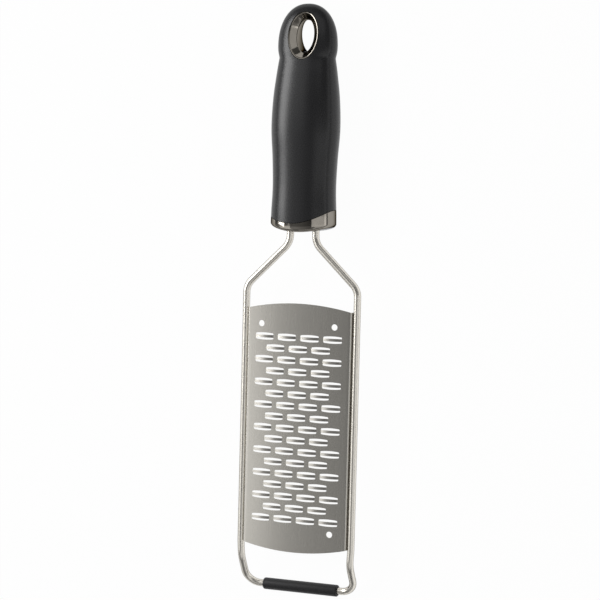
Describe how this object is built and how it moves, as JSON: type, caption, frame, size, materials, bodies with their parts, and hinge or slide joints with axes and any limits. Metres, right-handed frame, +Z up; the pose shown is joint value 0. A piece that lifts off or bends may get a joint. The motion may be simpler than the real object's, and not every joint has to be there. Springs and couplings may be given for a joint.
{
  "type": "hand grater",
  "caption": "Flat hand grater with a crowned perforated steel blade in a bent rod frame, a rubber foot and a soft oval handle with a hanging eye.",
  "frame": {"origin": "on the table under the middle of the overall outline, with the grater lying on its back", "axes": "+X across the blade, +Y along the grater from the foot to the handle, +Z up out of the cutting face"},
  "size_m": [0.0684, 0.319, 0.024],
  "materials": {
    "rod_steel": "polished round stainless rod",
    "blade_steel": "satin stainless sheet brushed lengthwise",
    "foot_rubber": "matte black rubber",
    "core_plastic": "plain moulding, hidden",
    "grip_rubber": "soft-touch matte black",
    "dark_plated": "dark bronze-black plating, polished"
  },
  "bodies": {
    "root": {"wire_frame": "rod_steel", "blade": "blade_steel", "foot_sleeve": "foot_rubber", "handle_core": "core_plastic", "handle_grip": "grip_rubber", "collar": "dark_plated", "hang_eyelet": "dark_plated"}
  },
  "joints": []
}
